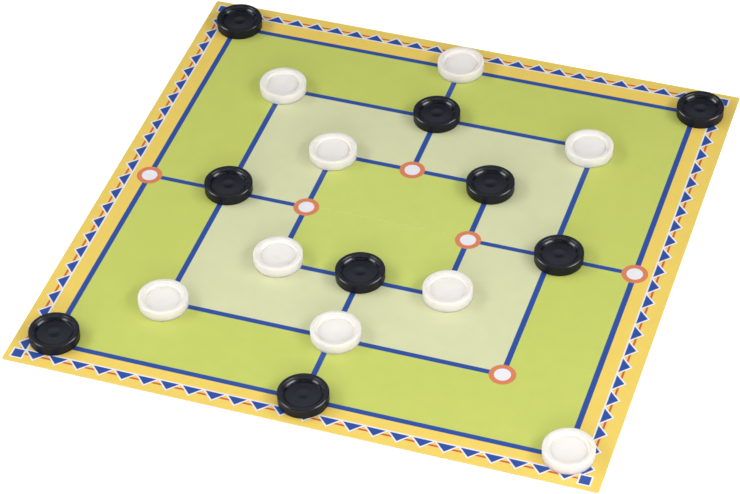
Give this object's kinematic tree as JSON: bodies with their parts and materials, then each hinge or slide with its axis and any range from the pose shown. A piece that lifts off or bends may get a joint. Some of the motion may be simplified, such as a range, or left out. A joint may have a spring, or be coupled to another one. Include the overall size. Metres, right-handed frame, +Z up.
{
  "type": "nine men's morris game set",
  "caption": "Square folding card board printed with three nested squares and points, creased across the middle, with round dished counters standing on it.",
  "frame": {"origin": "underside of the board, at the middle of its crease", "axes": "+Z up from the board, +X along the crease to the player's right, -Y towards the player's near edge"},
  "size_m": [0.3, 0.298, 0.0063],
  "materials": {
    "printed_card": "printed and lightly varnished card",
    "white_plastic": "satin moulded polystyrene",
    "black_plastic": "glossy moulded polystyrene"
  },
  "bodies": {
    "front_leaf": {"front_leaf": "printed_card"},
    "rear_leaf": {"rear_leaf": "printed_card"},
    "white_man_d7": {"white_man_d7": "white_plastic"},
    "white_man_b6": {"white_man_b6": "white_plastic"},
    "white_man_f6": {"white_man_f6": "white_plastic"},
    "white_man_c5": {"white_man_c5": "white_plastic"},
    "white_man_c3": {"white_man_c3": "white_plastic"},
    "white_man_e3": {"white_man_e3": "white_plastic"},
    "white_man_b2": {"white_man_b2": "white_plastic"},
    "white_man_d2": {"white_man_d2": "white_plastic"},
    "white_man_g1": {"white_man_g1": "white_plastic"},
    "black_man_a7": {"black_man_a7": "black_plastic"},
    "black_man_g7": {"black_man_g7": "black_plastic"},
    "black_man_d6": {"black_man_d6": "black_plastic"},
    "black_man_e5": {"black_man_e5": "black_plastic"},
    "black_man_b4": {"black_man_b4": "black_plastic"},
    "black_man_f4": {"black_man_f4": "black_plastic"},
    "black_man_d3": {"black_man_d3": "black_plastic"},
    "black_man_a1": {"black_man_a1": "black_plastic"},
    "black_man_d1": {"black_man_d1": "black_plastic"}
  },
  "joints": [
    {"name": "fold", "type": "hinge", "parent": "front_leaf", "child": "rear_leaf", "pos_m": [0, 0, 0], "axis": [1, 0, 0], "range_deg": [-177, 0]},
    {"name": "lift_white_man_d7", "type": "slide", "parent": "rear_leaf", "child": "white_man_d7", "axis": [0, 0, 1], "range_m": [0, 0.03]},
    {"name": "lift_white_man_b6", "type": "slide", "parent": "rear_leaf", "child": "white_man_b6", "axis": [0, 0, 1], "range_m": [0, 0.03]},
    {"name": "lift_white_man_f6", "type": "slide", "parent": "rear_leaf", "child": "white_man_f6", "axis": [0, 0, 1], "range_m": [0, 0.03]},
    {"name": "lift_white_man_c5", "type": "slide", "parent": "rear_leaf", "child": "white_man_c5", "axis": [0, 0, 1], "range_m": [0, 0.03]},
    {"name": "lift_white_man_c3", "type": "slide", "parent": "front_leaf", "child": "white_man_c3", "axis": [0, 0, 1], "range_m": [0, 0.03]},
    {"name": "lift_white_man_e3", "type": "slide", "parent": "front_leaf", "child": "white_man_e3", "axis": [0, 0, 1], "range_m": [0, 0.03]},
    {"name": "lift_white_man_b2", "type": "slide", "parent": "front_leaf", "child": "white_man_b2", "axis": [0, 0, 1], "range_m": [0, 0.03]},
    {"name": "lift_white_man_d2", "type": "slide", "parent": "front_leaf", "child": "white_man_d2", "axis": [0, 0, 1], "range_m": [0, 0.03]},
    {"name": "lift_white_man_g1", "type": "slide", "parent": "front_leaf", "child": "white_man_g1", "axis": [0, 0, 1], "range_m": [0, 0.03]},
    {"name": "lift_black_man_a7", "type": "slide", "parent": "rear_leaf", "child": "black_man_a7", "axis": [0, 0, 1], "range_m": [0, 0.03]},
    {"name": "lift_black_man_g7", "type": "slide", "parent": "rear_leaf", "child": "black_man_g7", "axis": [0, 0, 1], "range_m": [0, 0.03]},
    {"name": "lift_black_man_d6", "type": "slide", "parent": "rear_leaf", "child": "black_man_d6", "axis": [0, 0, 1], "range_m": [0, 0.03]},
    {"name": "lift_black_man_e5", "type": "slide", "parent": "rear_leaf", "child": "black_man_e5", "axis": [0, 0, 1], "range_m": [0, 0.03]},
    {"name": "lift_black_man_b4", "type": "slide", "parent": "front_leaf", "child": "black_man_b4", "axis": [0, 0, 1], "range_m": [0, 0.03]},
    {"name": "lift_black_man_f4", "type": "slide", "parent": "front_leaf", "child": "black_man_f4", "axis": [0, 0, 1], "range_m": [0, 0.03]},
    {"name": "lift_black_man_d3", "type": "slide", "parent": "front_leaf", "child": "black_man_d3", "axis": [0, 0, 1], "range_m": [0, 0.03]},
    {"name": "lift_black_man_a1", "type": "slide", "parent": "front_leaf", "child": "black_man_a1", "axis": [0, 0, 1], "range_m": [0, 0.03]},
    {"name": "lift_black_man_d1", "type": "slide", "parent": "front_leaf", "child": "black_man_d1", "axis": [0, 0, 1], "range_m": [0, 0.03]}
  ]
}
